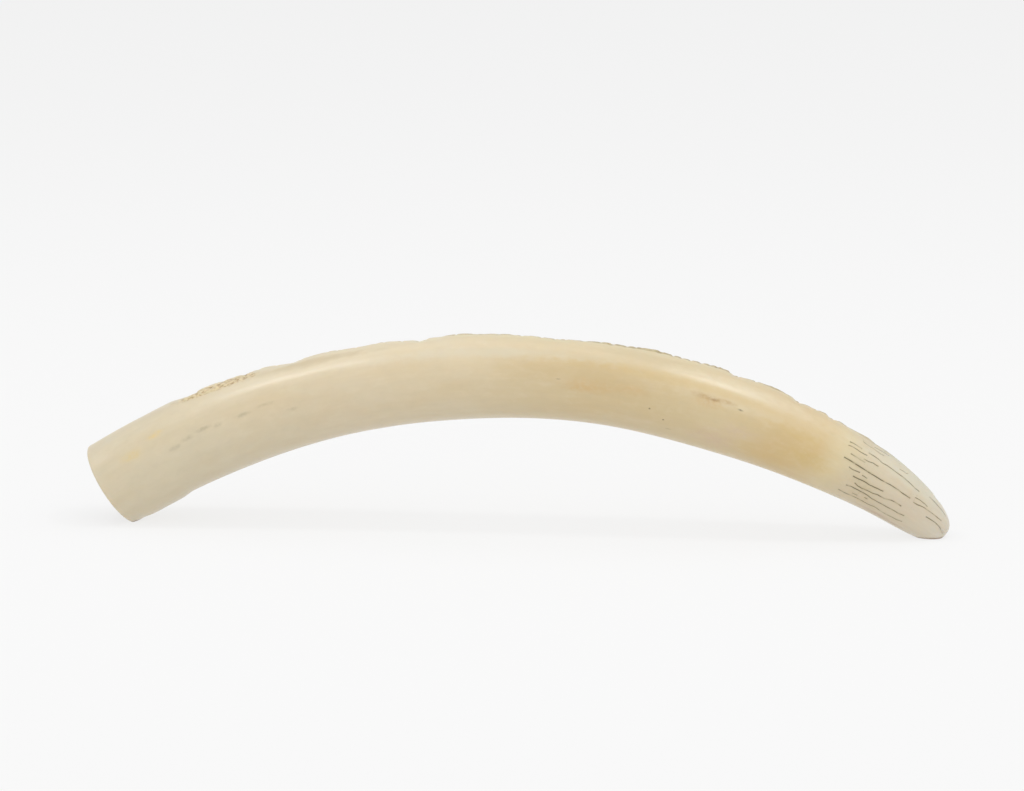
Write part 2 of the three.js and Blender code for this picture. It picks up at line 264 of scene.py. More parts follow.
def window(sheet, x0, x1, y0, y1):
    # the part of the carved sheet between two places along the tusk and two round it
    rows = np.where((sheet["along"] >= x0) & (sheet["along"] <= x1))[0]
    columns = np.where((sheet["across"] >= y0) & (sheet["across"] <= y1))[0]
    return np.ix_(rows, columns), sheet["along"][rows][:, None], sheet["across"][columns][None, :]


def lay(sheet, block, form):
    sheet["height"][block] = np.maximum(sheet["height"][block], form)


def leafForm(x, y, rank, length, spread, curl):
    # one pointed leaf: a spine with a crease, raised flanks, side veins and a toothed edge
    f = forms
    share = np.linspace(0, 1, 22)
    heading = math.radians(rank * spread)
    bend = math.radians(rank * curl) * share
    reach = (length + carving["outerGain"] * abs(rank)) * share
    straight = np.abs(bend) < 1e-6
    safe = np.where(straight, 1, bend)
    chord = np.where(straight, reach, 2 * reach * np.sin(safe / 2) / safe)
    spine = np.stack([rank * carving["rootSpacing"] + chord * np.sin(heading + bend / 2),
                      chord * np.cos(heading + bend / 2)], -1)
    off, reached = fromStroke(x, y, spine)
    travelled = reached * reach[-1]
    vein = np.cos(2 * math.pi * (travelled - f["veinSlant"] * np.abs(off)) / carving["veinSpacing"])
    opening = np.radians(spread * 0.52 + curl * 0.3 * reached)
    tip = 1 - np.clip((reached - 0.42) / 0.58, 0, 1) ** 2.1  # it narrows over its outer part
    wide = (carving["rootSpacing"] / 2 + travelled * np.tan(opening)) * tip * (1 + 0.05 * vein) + 0.15
    away = np.abs(off) / wide
    form = f["leafSpine"] - f["leafFall"] * np.minimum(away, 1) ** 2.3
    form -= f["leafTipFall"] * reached**2
    form -= f["creaseDepth"] * np.exp(-(off / f["creaseWidth"]) ** 2) * (1 - reached**3)
    form += f["veinDepth"] * vein * ease(0.05, 0.4, away) * (1 - ease(0.75, 1.0, away))
    form -= f["wall"] * np.maximum(0, np.abs(off) - wide)
    return form


def carveFan(sheet, middle, root, opens, squeeze, leaves, length, spread, curl):
    reach = length + carving["outerGain"] * leaves / 2 + 4
    block, along, across = window(sheet, middle - reach * squeeze, middle + reach * squeeze,
                                  root - reach, root + reach)
    flip = 1 if opens < 0 else -1
    x = flip * (along - middle) / squeeze + 0 * across
    y = (across - root) * opens + 0 * along
    ranks = np.arange(leaves) - (leaves - 1) / 2
    for rank in sorted(ranks, key=abs, reverse=True):
        lay(sheet, block, leafForm(x, y, rank, length, spread, curl))
    husk = np.hypot(x, y * 1.2)  # a small husk holds the leaves together
    lay(sheet, block, -0.25 - 0.05 * husk**2 - 2.5 * np.maximum(0, husk - forms["huskSize"]))


def carveRosette(sheet, middle, across0, size, squeeze):
    f = forms
    reach = carving["rosette"] * size + 2
    block, along, across = window(sheet, middle - reach, middle + reach, across0 - reach, across0 + reach)
    x = (along - middle) / squeeze / size + 0 * across
    y = (across - across0) / size + 0 * along
    far, angle = np.hypot(x, y), np.arctan2(y, x)
    between = np.cos(carving["petals"] / 2 * angle)
    petal = np.abs(between)  # 1 between two petals, 0 on a petal's middle
    rim = carving["rosette"] * (1 - 0.2 * petal**5)
    form = f["petalRoot"] + f["petalRise"] * ease(3.2, 8.2, far) - f["petalGap"] * petal**7
    form -= f["petalHollow"] * np.exp(-(far * between / 3.2) ** 2) * ease(3.6, 6.0, far)
    form += f["petalLip"] * ease(7.2, 8.8, far) - f["wall"] * np.maximum(0, far - rim)
    boss = -0.02 * far**2 - 2.4 * np.maximum(0, far - f["bossSize"])
    pits = f["pitDepth"] * np.exp(-((far - f["pitRing"]) / 0.5) ** 2)
    pits = pits * (0.5 + 0.5 * np.cos(6 * angle))
    middlePit = 0.3 * np.exp(-(far / 0.5) ** 2)
    lay(sheet, block, np.maximum(form, boss - pits - middlePit))


def carveStem(sheet):
    f = forms
    places = []
    for span in fanSpans():
        part = np.linspace(0, 1, 28)[:-1]
        places += list(zip(span["start"] + span["run"] * part,
                           carving["stemMiddle"] + carving["stemSwing"] * np.cos(2 * math.pi * part)))
    places.append((fanSpans()[-1]["end"], carving["stemMiddle"] + carving["stemSwing"]))
    places = np.array(places)
    wide = carving["stemWidth"] / 2
    for first in range(0, len(places) - 1, 9):
        piece = places[first:first + 10]
        low, high = piece.min(0) - 6, piece.max(0) + 6
        block, along, across = window(sheet, low[0], high[0], low[1], high[1])
        off, _ = fromStroke(along + 0 * across, across + 0 * along, piece)
        off = np.abs(off)
        form = f["stemTop"] - f["stemFall"] * np.minimum(off / wide, 1) ** 2
        fromGroove = (off - f["groovePlace"]) / f["grooveWidth"]
        form = form - f["grooveDepth"] * np.exp(-fromGroove**2)
        lay(sheet, block, form - f["wall"] * np.maximum(0, off - wide))


def carveTendril(sheet, middle, across0, squeeze):
    f = forms
    share = np.linspace(0, 1, 26)
    turn = np.radians(225 - 300 * share)  # it curls over 300 degrees
    reach = carving["tendrilReach"] + (carving["tendrilEnd"] - carving["tendrilReach"]) * share
    stroke = np.stack([middle + reach * squeeze * np.cos(turn), across0 + reach * 0.82 * np.sin(turn)], -1)
    low, high = stroke.min(0) - 5, stroke.max(0) + 5
    block, along, across = window(sheet, low[0], high[0], low[1], high[1])
    x, y = along + 0 * across, across + 0 * along
    off, reached = fromStroke(x, y, stroke)
    wide = carving["tendrilWidth"] / 2 * (1 - 0.35 * reached)
    form = f["tendrilTop"] - f["tendrilFall"] * np.minimum(np.abs(off) / wide, 1) ** 2
    form = form - f["wall"] * np.maximum(0, np.abs(off) - wide)
    bud = np.hypot(x - stroke[-1, 0], y - stroke[-1, 1])
    bud = f["budTop"] - 0.07 * bud**2 - f["wall"] * np.maximum(0, bud - f["budSize"])
    lay(sheet, block, np.maximum(form, bud))


def carvedField(along, across):
    # heights of the whole band under the skin, and a mask that is 1 inside the band and 0 outside
    c = carving
    x, y = along[:, None] + 0 * across[None, :], across[None, :] + 0 * along[:, None]
    ground = -c["ground"] + 0.13 * softNoise(x, y, (2.1, 2.1), 3) + 0.1 * softNoise(x, y, (5.5, 5.5), 4)
    sheet = {"along": along, "across": across, "height": ground}
    crest, trough = c["stemMiddle"] - c["stemSwing"], c["stemMiddle"] + c["stemSwing"]
    for span in fanSpans():
        middle, end, squeeze = span["middle"], span["end"], span["squeeze"]
        length = crest - float(nearEdge(middle)) - c["leafGap"]
        carveTendril(sheet, middle, trough, squeeze)
        carveFan(sheet, middle, crest, -1, squeeze, c["backLeaves"], length, c["backSpread"], c["backCurl"])
        carveFan(sheet, end, trough, 1, squeeze, c["lowLeaves"], c["lowLength"], c["lowSpread"], c["lowCurl"])
    carveStem(sheet)
    for span in fanSpans():
        carveRosette(sheet, span["middle"], trough, 1, span["squeeze"])
        carveRosette(sheet, span["end"], crest, 0.9, span["squeeze"])
    # small leaf tips close the first fan on the plain side
    off = y - nearEdge(x)
    tips = 0.5 + 0.5 * np.cos(2 * math.pi * (x + 0.5 * off) / c["tipSpacing"])
    tips = tips + 0.5 * softNoise(x, y, (2.4, 1.7), 11)
    tips = -0.4 - 1.1 * (1 - np.clip(tips, 0, 1)) ** 1.6
    within = ease(0, 1.5, off) * (1 - ease(7, 11, off)) * crossing(x) * (x < c["tipsEnd"])
    sheet["height"] = np.maximum(sheet["height"], tips - 4 * (1 - within))
    inside = np.minimum(np.minimum(x - c["start"], bandEnd() - x), np.minimum(off, c["farReach"] - y))
    inside = inside + 0.35 * softNoise(x, y, (4, 4), 5)
    shallow = (1 - c["crossingDepth"]) * crossing(x) * (1 - ease(0, c["crossingFall"], off))
    height = sheet["height"] * ease(-0.1, 1.5, inside) * (1 - shallow)
    # on the back the first fan has no step at its start, it deepens slowly
    height = np.maximum(height, -0.1 - 0.14 * np.maximum(0, x - c["start"]) - 4 * ease(8, 14, y))
    return height, ease(-0.6, 1.2, inside)


# How high the border's edge stands over the skin along the tusk, worn and dipped as it is, in mm.
borderEdge = [
    (40, 0), (64, 0.6), (98, 0.8), (110, 0.4), (132, 0.4), (137, 0), (144, -1.2), (148, -1.5), (156, -1.1),
    (160, -0.1), (176, 0.5), (190, -0.3), (204, -0.2), (212, 0.2), (218, -0.1), (228, -1.0), (232, -1.2),
    (236, -2.0), (240, -2.0), (243.5, -0.7), (252, -0.5), (258, 0.6), (266, 0.9), (274, 0.6), (280, 0.2),
    (284, 0.5), (297, 0.5), (300, 0.1), (310, 0.2), (318, -0.2), (326, -0.6), (334, -0.3), (350, 0.4),
    (362, 1.2), (372, 0.8), (382, 1.2), (394, 1.7), (402, 0.8), (417, 0.1), (426, 0.6), (437, 1.0),
    (444, 0.3), (447, -1.4), (452, -0.9), (460, -0.2), (468, 0.5), (476, 1.1), (484, 0.4), (488, -0.1),
    (491, -1.2), (500, -0.5), (508, 0.1), (512.5, 0.6), (515.5, -0.7), (524, 0.7), (529, 0), (536, 0.5),
    (545, 1.3), (551, 0.5), (560, 0.9), (572, 0.6), (592, 0),
]

# Small breaks in the border, as distance along, width and depth in mm.
nicks = [
    (139, 5, 0.5), (151, 7, 1.0), (161, 4, 0.6), (181, 3, 0.5), (194, 4, 0.6), (213, 3, 0.6), (225, 4, 1.0),
    (237, 5, 0.9), (242, 3, 0.9), (261, 3, 0.9), (273, 4, 0.4), (290, 3, 0.4), (305, 4, 0.8), (318, 4, 0.7),
    (327, 3, 0.8), (334, 3, 0.8), (346, 5, 0.5), (357, 3, 0.5), (365, 4, 0.9), (374, 3, 0.8), (380, 3, 0.7),
    (397, 4, 0.7), (405, 3, 1.0), (411, 3, 0.9), (417, 3, 0.8), (424, 4, 1.0), (430, 3, 0.7), (435, 3, 0.9),
    (444, 3, 0.9), (450, 3, 1.0), (462, 3, 0.9), (475, 4, 0.4), (494, 4, 1.0), (506, 3, 1.0), (519, 4, 0.6),
]


wear = {
    "nickShare": 0.95,  # of the depths above
    "fray": 0.32,
    "frayEnd": 530,
    "filing": [(0.10, (48, 26), 7), (0.05, (17, 12), 8)],  # depth, size along and round, seed of the pattern
}


def worn(along, across, height):
    # the border's rises, dips and breaks, and the slight unevenness of a surface that was filed by hand
    x, y = along[:, None] + 0 * across[None, :], across[None, :] + 0 * along[:, None]
    edge = np.interp(x, *zip(*borderEdge))
    height = np.minimum(height, np.minimum(edge, 0) * ease(-10, -1, y) * (1 - ease(9, 14, y)))
    overBack = np.maximum(ease(0, 6, y), crossing(x) * ease(-13, -7, y))
    height = height + np.maximum(edge, 0) * overBack * (1 - ease(12, 26, y))
    border = ease(-1.5, 3.5, y) * (1 - ease(11, 14, y))
    uneven = 0.8 + 0.2 * softNoise(x, y, (2, 2), 9)
    for place, wide, deep in nicks:
        off = np.abs(x - place - 0.25 * (y - 4)) / (wide * 0.5)
        height = height - wear["nickShare"] * deep * border * np.maximum(0, 1 - off**2) * uneven
    reach = (x > carving["start"] + 40) & (x < wear["frayEnd"])
    height = height - wear["fray"] * border * reach * np.maximum(0, softNoise(x, y, (2.6, 5), 6))
    for deep, sizes, seed in wear["filing"]:
        height = height - deep * (1 + softNoise(x, y, sizes, seed))
    return height


# The crack that runs round the tip and leaves a notch in its lower edge, and a chip and a dent near it.
tipMarks = {
    "crackLine": ([604, 608, 612.5, 616.5, 625], [-39.7, -38.2, -36.2, -35.8, -40.0]),  # along, round
    "crackStart": (610, 619),  # from here to here it deepens
    "crackEnd": (621.5, 624),
    "crackDepth": 1.9,
    "crackWidth": 1.4,
    "hits": [(621.6, -44, 3.3, 3.3, 1.8), (604.5, 2, 4, 5, 1.1)],  # place along, round, size both ways, depth
}


def notched(along, across):
    t = tipMarks
    # a mm round the tip is this much shorter
    size = np.maximum(halfHeight(along), 3) / tusk["bodyHalfHeight"]
    off = np.abs(across - np.interp(along, *t["crackLine"])) * size
    depth = t["crackDepth"] * ease(*t["crackStart"], along) * (1 - ease(*t["crackEnd"], along))
    depth = depth * np.maximum(0, 1 - off / t["crackWidth"])
    for place, roundAt, long, wide, deep in t["hits"]:
        far = np.hypot((along - place) / long, (across - roundAt) * size / wide)
        depth = depth + deep * np.maximum(0, 1 - far**2)
    return depth


def blurred(sheet, reach):
    # mean of a sheet over a square of points, by running sums
    for axis in (0, 1):
        padded = np.concatenate([np.repeat(np.take(sheet, [0], axis), reach + 1, axis), sheet,
                                 np.repeat(np.take(sheet, [-1], axis), reach, axis)], axis)
        sums = np.cumsum(padded, axis)
        count = sheet.shape[axis]
        ahead = np.take(sums, range(2 * reach + 1, 2 * reach + 1 + count), axis)
        sheet = (ahead - np.take(sums, range(count), axis)) / (2 * reach + 1)
    return sheet


def widening(start, end, step, widest):
    # places from start to end, close together at first and then further and further apart
    gaps = []
    while sum(gaps) < abs(end - start):
        gaps.append(min(widest, step * grain["growth"] ** (len(gaps) + 1)))
    reached = np.cumsum([0] + gaps)
    return start + (end - start) * reached / reached[-1]


def makeTusk():
    t, g = tusk, grain
    butt = float(halfHeight(0))
    mouth = butt - t["rimWall"]
    ring = butt - t["rimRounding"]
    corner = t["rimRounding"] * math.pi / 2
    wallTop = -corner - ring + mouth  # where the hollow's wall meets the sawn ring

    # rows as place along, half height, and distance on the surface from the rim's outer edge:
    # up the wall of the hollow, over the rim, along the outside and round the nose
    shares = (1 - np.linspace(0, 1, g["hollowRows"]) ** g["hollowCrowding"])[:-1]
    rows = [(t["hollowDepth"] * share, mouth * (1 - share) ** t["hollowPower"],
             -corner - t["rimWall"] - t["hollowDepth"] * share) for share in shares]
    rows += [(0.35, mouth, wallTop - 0.5), (0.05, mouth + 0.25, wallTop - 0.1)]
    rows += [(0, mouth + (ring - mouth) * share, -corner - (ring - mouth) * (1 - share))
             for share in (0.1, 0.5, 0.95)]
    for turn in np.linspace(0, math.pi / 2, 7):
        rows.append((t["rimRounding"] * (1 - math.cos(turn)), ring + t["rimRounding"] * math.sin(turn),
                     t["rimRounding"] * turn - corner))
    places = list(np.arange(t["rimRounding"] + g["plainStep"], carving["start"] - 3, g["plainStep"]))
    place = carving["start"] - 2
    firstStep, lastStep = g["carvedStep"]
    while place < bandEnd() + 4:
        places.append(place)
        share = (place - carving["start"]) / (bandEnd() - carving["start"])
        place += firstStep + (lastStep - firstStep) * min(max(share, 0), 1)
    places += list(np.arange(place, t["length"] - t["noseRun"], g["plainStep"]))
    places += list(t["length"] - t["noseRun"] * (1 - np.sin(np.linspace(0, math.pi / 2, g["noseRows"]))))
    first = len(rows)
    rows += [(a, float(halfHeight(a)), a) for a in places]
    alongs, halves, paths = (np.array([row[k] for row in rows]) for k in range(3))

    # columns: close together round the carved band and wider on the plain side, from below and back to it
    under = math.pi * t["bodyHalfHeight"]
    near, far = -carving["crossingReach"] - 0.9, carving["farReach"] + 2
    acrosses = np.concatenate([
        widening(near, -under, g["carvedAcross"], g["plainAcross"])[:0:-1],
        np.linspace(near, far, round((far - near) / g["carvedAcross"]))[:-1],
        widening(far, under, g["carvedAcross"], g["plainAcross"])])
    angles = acrosses / t["bodyHalfHeight"]

    # a flat sheet with that many rows and columns is wrapped into the tusk
    bpy.ops.mesh.primitive_grid_add(x_subdivisions=len(acrosses) - 1, y_subdivisions=len(rows) - 1, size=1)
    piece = bpy.context.object
    piece.name = piece.data.name = "ivoryTusk"
    mesh = piece.data
    band, mask = carvedField(alongs[first:], acrosses)
    skin = worn(alongs[first:], acrosses, band)
    skin = skin * (ease(t["length"], t["length"] - 12, alongs[first:]) * ease(0, 6, alongs[first:]))[:, None]
    skin = skin - notched(alongs[first:, None], acrosses[None, :])
    lift, carvedDepth, crevice = (np.zeros((len(rows), len(acrosses))) for _ in range(3))
    lift[first:] = skin
    carvedDepth[first:] = mask * ease(0.15, 2.3, -skin)
    crevice[first:] = np.clip((blurred(skin, 2) - skin) / 0.35, -1, 1) * mask
    inHollow = (paths < wallTop)[:, None] + 0 * lift
    inward = np.where(inHollow, -0.5, 1.0)  # the hollow's wall keeps clear the other way
    lift = np.where(halves[:, None] > 1, lift - t["polish"] * inward, 0)
    lower = np.zeros_like(lift)
    lower[first:] = heel(alongs[first:, None], angles[None, :])
    shorter = t["polish"] + alongs * (1 - 4 * t["polish"] / t["length"])
    halves = np.where(halves < 1e-6, 0, halves)
    spots = standing(shorter[:, None], angles[None, :], lift, halves[:, None], lower)

    # the grid counts its points row by row, so the wrapped places go in as they are
    coordinates = np.empty(len(mesh.vertices) * 3)
    mesh.vertices.foreach_get("co", coordinates)
    flat = coordinates.reshape(-1, 3)
    order = np.lexsort((flat[:, 0], flat[:, 1]))
    wrapped = np.empty_like(flat)
    wrapped[order] = spots.reshape(-1, 3)
    mesh.vertices.foreach_set("co", wrapped.ravel())

    # the map of the surface: distance along and round the tusk, in metres
    unrolled = np.empty((len(flat), 2))
    unrolled[order] = np.stack([np.repeat(paths, len(acrosses)), np.tile(acrosses, len(rows))], -1) * mm
    corners = np.empty(len(mesh.loops), int)
    mesh.loops.foreach_get("vertex_index", corners)
    mesh.uv_layers.active.name = "unrolled"
    mesh.uv_layers.active.data.foreach_set("uv", unrolled[corners].ravel())
    for name, values in (("carvedDepth", carvedDepth), ("crevice", crevice), ("inHollow", inHollow)):
        layer = mesh.attributes.new(name, "FLOAT", "POINT")
        stored = np.empty(len(flat))
        stored[order] = values.ravel()
        layer.data.foreach_set("value", stored)
    mesh.update()

    # close the seam and the two poles, cut the feet flat on the floor, and point the faces outwards
    bpy.ops.object.mode_set(mode="EDIT")
    bpy.ops.mesh.select_all(action="SELECT")
    bpy.ops.mesh.remove_doubles(threshold=0.02 * mm)
    bpy.ops.mesh.select_all(action="SELECT")
    bpy.ops.mesh.bisect(plane_co=(0, 0, 0), plane_no=(0, 0, 1), use_fill=True, clear_inner=True,
                        threshold=1e-6)
    bpy.ops.mesh.select_all(action="SELECT")
    bpy.ops.mesh.normals_make_consistent(inside=False)
    bpy.ops.object.mode_set(mode="OBJECT")
    bpy.ops.object.shade_smooth_by_angle(angle=math.radians(60))
    return piece


bpy.ops.object.select_all(action="DESELECT")
body = makeTusk()
triangles = sum(len(face.vertices) - 2 for face in body.data.polygons)
print("tusk shaped:", len(body.data.vertices), "points,", triangles, "triangles")


def hexColour(text):
    # sRGB hex to linear
    parts = [int(text[i:i + 2], 16) / 255 for i in (0, 2, 4)]
    return tuple(p / 12.92 if p <= 0.04045 else ((p + 0.055) / 1.055) ** 2.4 for p in parts) + (1.0,)


def addNode(tree, kind, inputs=None, out=0, **settings):
    # adds a node, sets its properties, fills or links its inputs by name or number, and gives one output.
    # A MapRange turns 1 and 2 into 3 and 4, which are 0 and 1 where they are left out.
    node = tree.nodes.new("ShaderNode" + kind)
    for name, value in settings.items():
        setattr(node, name, value)
    for socket, value in (inputs or {}).items():
        if isinstance(value, bpy.types.NodeSocket):
            tree.links.new(value, node.inputs[socket])
        else:
            node.inputs[socket].default_value = value
    return node.outputs[out] if len(node.outputs) else node


# Old elephant ivory: dense dentine, filed and polished by hand, so it is creamy, slightly see-through
# and glossy, with honey stains, a soft lengthwise grain, and brown dirt and painted shade in the hollows of
# the carving.
ivory = {
    # tones along the tusk: place in mm and colour, grey cream at the butt, warm before the tip, paler at it
    "tones": [(0, "CFC3A8"), (60, "CEC2A6"), (190, "D0C1A3"), (250, "D0C1A2"), (320, "CCB992"),
              (385, "CBB78E"), (450, "CDBA91"), (490, "CCB383"), (515, "CFB786"), (532, "D4C49C"),
              (548, "CFC1A4"), (585, "CDC2AB"), (625, "CFC7B6")],
    # a pale tone for the mottling, and also the painted sheen on the upper side and on the satin strip
    "paleAndSheen": "E6DBC3",
    "honey": "CFAE74",
    "olive": "B5A781",
    "rubbed": "E2D3AE",  # the worn crests of the carving
    "ground": "CDB384",  # old dirt on the sunk ground
    "cornerDirtAndShade": "8D6D42",  # dirt left in the deepest corners, darkened further there as painted shade
    "edgeDirtAndShade": "8B7C52",  # dirt and painted shade along the border's edge
    "crack": "5A4F32",
    "shade": "B3A68D",  # painted shade on the underside, and also a tone of the mottling
    # painted contact shadow at the very edge of each foot
    "foot": "75563C",
    "hollowDark": "7E6039",
    "hollowLight": "B3935F",
    "fringeTan": "D2BC82",
    "fringeSpecks": "93692F",
    "fringe": (99, -6.5, 62, 13),  # the leaf tips on the plain side: place along and round, length and width
    "roughness": 0.29,
    "ior": 1.54,
    "glow": 0.25,  # how much of the light goes in and comes out again
    "glowDepth": 4.0,
    "edgeOfPolish": -18.5,  # from here up to the carving the surface is left satin
    "grainDepth": 0.012,
    "sawDepth": 0.12,
    "crackDepth": 0.25,
}

# How large each cloudy pattern is across the tusk in mm, how much longer along it, its detail and roughness.
patterns = {
    "clouds": (34, 2.6, 1.5, 0.5),
    "drift": (13, 3.2, 1.5, 0.5),
    "mottle": (6.5, 1.7, 3, 0.6),
    "streaks": (3.4, 12, 3, 0.5),
    "fine": (1.2, 12, 2, 0.5),
    "grime": (2.6, 1.2, 4, 0.6),
    "waver": (4.5, 1.6, 2, 0.5),
    "gaps": (2.2, 2.5, 2, 0.5),
    "specks": (1.3, 1.5, 2, 0.5),
}

# What the patterns do to the tone, in faint layers: where each starts and is full, its strength and its tone.
mottling = [
    ("clouds", 0.5, 0.8, 0.16, "honey"), ("drift", 0.5, 0.78, 0.14, "paleAndSheen"),
    ("drift", 0.48, 0.25, 0.12, "honey"), ("mottle", 0.52, 0.8, 0.16, "paleAndSheen"),
    ("mottle", 0.46, 0.2, 0.16, "shade"), ("streaks", 0.5, 0.8, 0.07, "paleAndSheen"),
    ("streaks", 0.48, 0.2, 0.07, "olive"), ("fine", 0.55, 0.85, 0.05, "olive"),
]

# Stains and marks: place along and round the tusk, length and width in mm, colour, strength. The smaller ones
# are broken up. The two pale patches high on the polished side, at 470 and 285 along, are painted sheen.
stains = [
    # the pale patch at 470 along is painted sheen from the overhead light
    (470, -24, 190, 32, "E4DAC2", 0.4), (355, -36, 130, 26, "BEA573", 0.38),
    (435, -26.5, 260, 13, "C9AA66", 0.38), (165, -11, 110, 13, "B5A27A", 0.6),
    # the pale patch at 285 along is painted sheen from the overhead light
    (285, -22.5, 240, 13, "D3CDB9", 0.42), (388, -12, 100, 15, "BFAD84", 0.5),
    (584, -12, 100, 40, "DAD8C6", 0.5), (330, 0, 420, 22, "D6CDA4", 0.4), (51, -27.7, 17, 6, "DCC27C", 0.6),
    (30, -33.5, 20, 9, "D8BE78", 0.5), (17, -12, 26, 8, "CCC6B4", 0.5), (60, -41.8, 11, 5, "9C9070", 0.42),
    (71, -39.6, 15, 4.5, "9C9070", 0.36), (84, -38, 12, 4, "8E8466", 0.42),
    (94, -39.2, 9, 4, "9C9070", 0.36), (113, -38.6, 13, 4, "8E8466", 0.42),
    (130, -36.6, 15, 3.6, "9C9070", 0.34), (147, -44.7, 11, 3.6, "9C9070", 0.28),
    (72, -73, 30, 12, "BFAF90", 0.35), (140, -70, 26, 9, "BFAF90", 0.3),
    (352, -43.5, 46, 14, "CBA468", 0.4), (383, -41.5, 28, 9, "CBA468", 0.3),
    (433, -33.6, 24, 6.4, "A8824A", 0.6), (439, -33.8, 9, 3, "8C6A3A", 0.6),
    (448, -32.4, 16, 4.6, "B08A52", 0.5), (437, -37, 28, 10, "C9A469", 0.4),
    (445, -63, 42, 22, "C6AC96", 0.5), (462, -51, 32, 14, "C9B29C", 0.45),
    (398, -52.1, 2, 1.6, "4E3F28", 0.8), (409, -58.4, 2, 1.6, "4E3F28", 0.7),
    (414, -65.6, 6, 1.4, "6A563A", 0.5), (458, -34.8, 5.5, 1.9, "4E3F28", 0.7),
    (333, -40.7, 4, 1.4, "6A563A", 0.5), (500, -35, 62, 15, "C9AA60", 0.3),
    (512, -50, 46, 20, "C9AD6C", 0.45), (488, -62, 60, 22, "C9AC72", 0.4),
    (580, -76, 60, 12, "AD9279", 0.5), (556, -49, 24, 14, "B5A882", 0.4),
    (560, -62, 40, 20, "B9A888", 0.35), (590, -44, 40, 22, "CDBBA6", 0.35), (575, 2, 64, 22, "C0C2A6", 0.4),
]

# Age cracks at the tip: how bold, then places along the tusk and round it in mm. The far side has them again,
# moved along and round.
cracks = [
    (1, [(533.5, -19.6), (537, -19.2), (541, -19.1), (543.5, -19.3)]),
    (0.9, [(533.5, -23.7), (537, -23.1), (542.5, -23.4), (548.5, -23)]),
    (0.9, [(541.5, -9.6), (545.5, -10.8), (551, -10.7), (556.5, -11.1), (559, -10.3)]),
    (1.1, [(550.5, -6.5), (554.5, -5), (557.5, -4), (562.5, -3.3)]),
    (1.1, [(537.5, -29.6), (542, -29.7), (546, -30.1), (549.5, -30.2)]),
    (0.8, [(547, -27.9), (551, -27.4), (554, -26), (558.5, -26.7)]),
    (1, [(548, -19.5), (553, -19.2), (557, -19.4), (559.5, -20.4), (563.5, -20), (569, -20.1),
           (575, -19.9), (581, -20.4), (586.5, -21.5), (590.5, -21.1)]),
    (1.5, [(534.5, -35.4), (539, -35.6), (544, -35.7), (548.5, -36.1), (555, -36.3), (561, -36.5),
           (566, -36.2), (572.5, -35.6), (578, -35.2), (582.5, -35.1), (588, -34.8)]),
    (1.1, [(540.5, -41), (543, -41.6), (547.5, -40.6), (549.5, -40.5)]),
    (0.9, [(551, -41.6), (556, -42.1)]),
    (1.3, [(546, -46.3), (551.5, -46.1), (558, -46.1), (564, -45.6), (570, -44.5)]),
    (1.2, [(549.5, -51.2), (552.5, -52.4), (556, -52.7), (560.5, -52.1), (564.5, -51.8), (568, -50.6),
           (573, -50.5), (575, -49.7), (578, -47.7), (583, -47.3), (586.5, -47.5)]),
    (1.3, [(545, -57.1), (550, -56.1), (556, -56), (561.5, -56.3), (566, -57.5), (571, -57.6),
           (576.5, -57), (582.5, -56.6), (588, -56.2), (592.5, -54.6)]),
    (1.1, [(542, -65.8), (546, -66), (550, -66.1), (555, -65.6), (559.5, -65.6), (566, -66.2),
           (571, -65.2), (576, -66.1), (581.5, -66.1), (586, -65.4), (589.5, -65.5), (594, -63.2)]),
    (0.8, [(552, -62.1), (556.5, -62.1)]),
    (0.9, [(561, -60.4), (564, -60.3)]),
    (0.9, [(590, -30.6), (594.5, -29), (598, -28.4), (601, -28.5)]),
    (1.1, [(590.5, -36), (594.5, -35), (599, -32.5), (603, -31.4), (606.5, -30.3), (611, -28.7),
           (615, -26.4)]),
    (1.4, [(604, -39.7), (608, -38.2), (612.5, -36.2), (616.5, -35.8), (619, -36.6)]),
    (1.2, [(598, -15.5), (602, -14.9), (607, -14), (612, -12.5), (616, -11)]),
    (0.8, [(571.5, -13.3), (575.5, -12.1), (578, -11.5)]),
]


